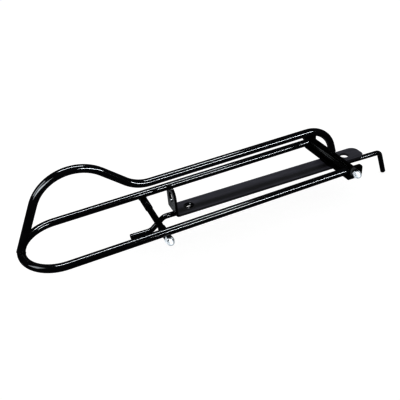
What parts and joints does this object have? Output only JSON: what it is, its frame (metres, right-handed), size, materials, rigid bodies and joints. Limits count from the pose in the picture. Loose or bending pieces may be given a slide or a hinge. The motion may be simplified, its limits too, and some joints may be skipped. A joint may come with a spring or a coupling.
{
  "type": "folding saddle rack",
  "caption": "Wall-mounted folding saddle rack, folded flat: bent-rod loop with a humped ridge rod, hinged to a flat wall bar, with a loose prop strut.",
  "frame": {"origin": "on the back face of the wall bar, on its centreline, 122.5 mm from the lower screw hole", "axes": "+X along the bar towards the hinge, +Y across the bar, +Z away from the wall"},
  "size_m": [0.5391, 0.136, 0.1471],
  "materials": {
    "gloss_black_coat": "high-gloss black coat",
    "satin_charcoal_coat": "satin charcoal coat",
    "bright_chrome": "bright plated",
    "zinc_steel": "zinc plated thread"
  },
  "bodies": {
    "wall_mount": {"wall_bar": "satin_charcoal_coat", "hinge_bracket": "gloss_black_coat", "hinge_stud": "zinc_steel", "hinge_nut_near": "bright_chrome", "hinge_nut_far": "bright_chrome"},
    "arm": {"loop_frame": "gloss_black_coat", "ridge_rod": "gloss_black_coat", "pivot_barrel": "gloss_black_coat", "cross_boss_near": "gloss_black_coat", "cross_boss_far": "gloss_black_coat", "cross_stud": "zinc_steel", "cross_nut_near": "bright_chrome", "cross_nut_far": "bright_chrome"},
    "roller": {"cross_roller": "gloss_black_coat"},
    "strut": {"prop_strut": "gloss_black_coat"}
  },
  "joints": [
    {"name": "arm_hinge", "type": "hinge", "parent": "wall_mount", "child": "arm", "pos_m": [0.0947, 0, 0.0146], "axis": [0, 1, 0], "range_deg": [0, 90]},
    {"name": "roller_spin", "type": "hinge", "parent": "arm", "child": "roller", "pos_m": [-0.16974, 0, -0.00069], "axis": [0, 1, 0], "continuous": true},
    {"name": "strut_withdraw", "type": "slide", "parent": "wall_mount", "child": "strut", "axis": [0.9998, -0.0188, 0], "range_m": [0, 0.36]}
  ]
}
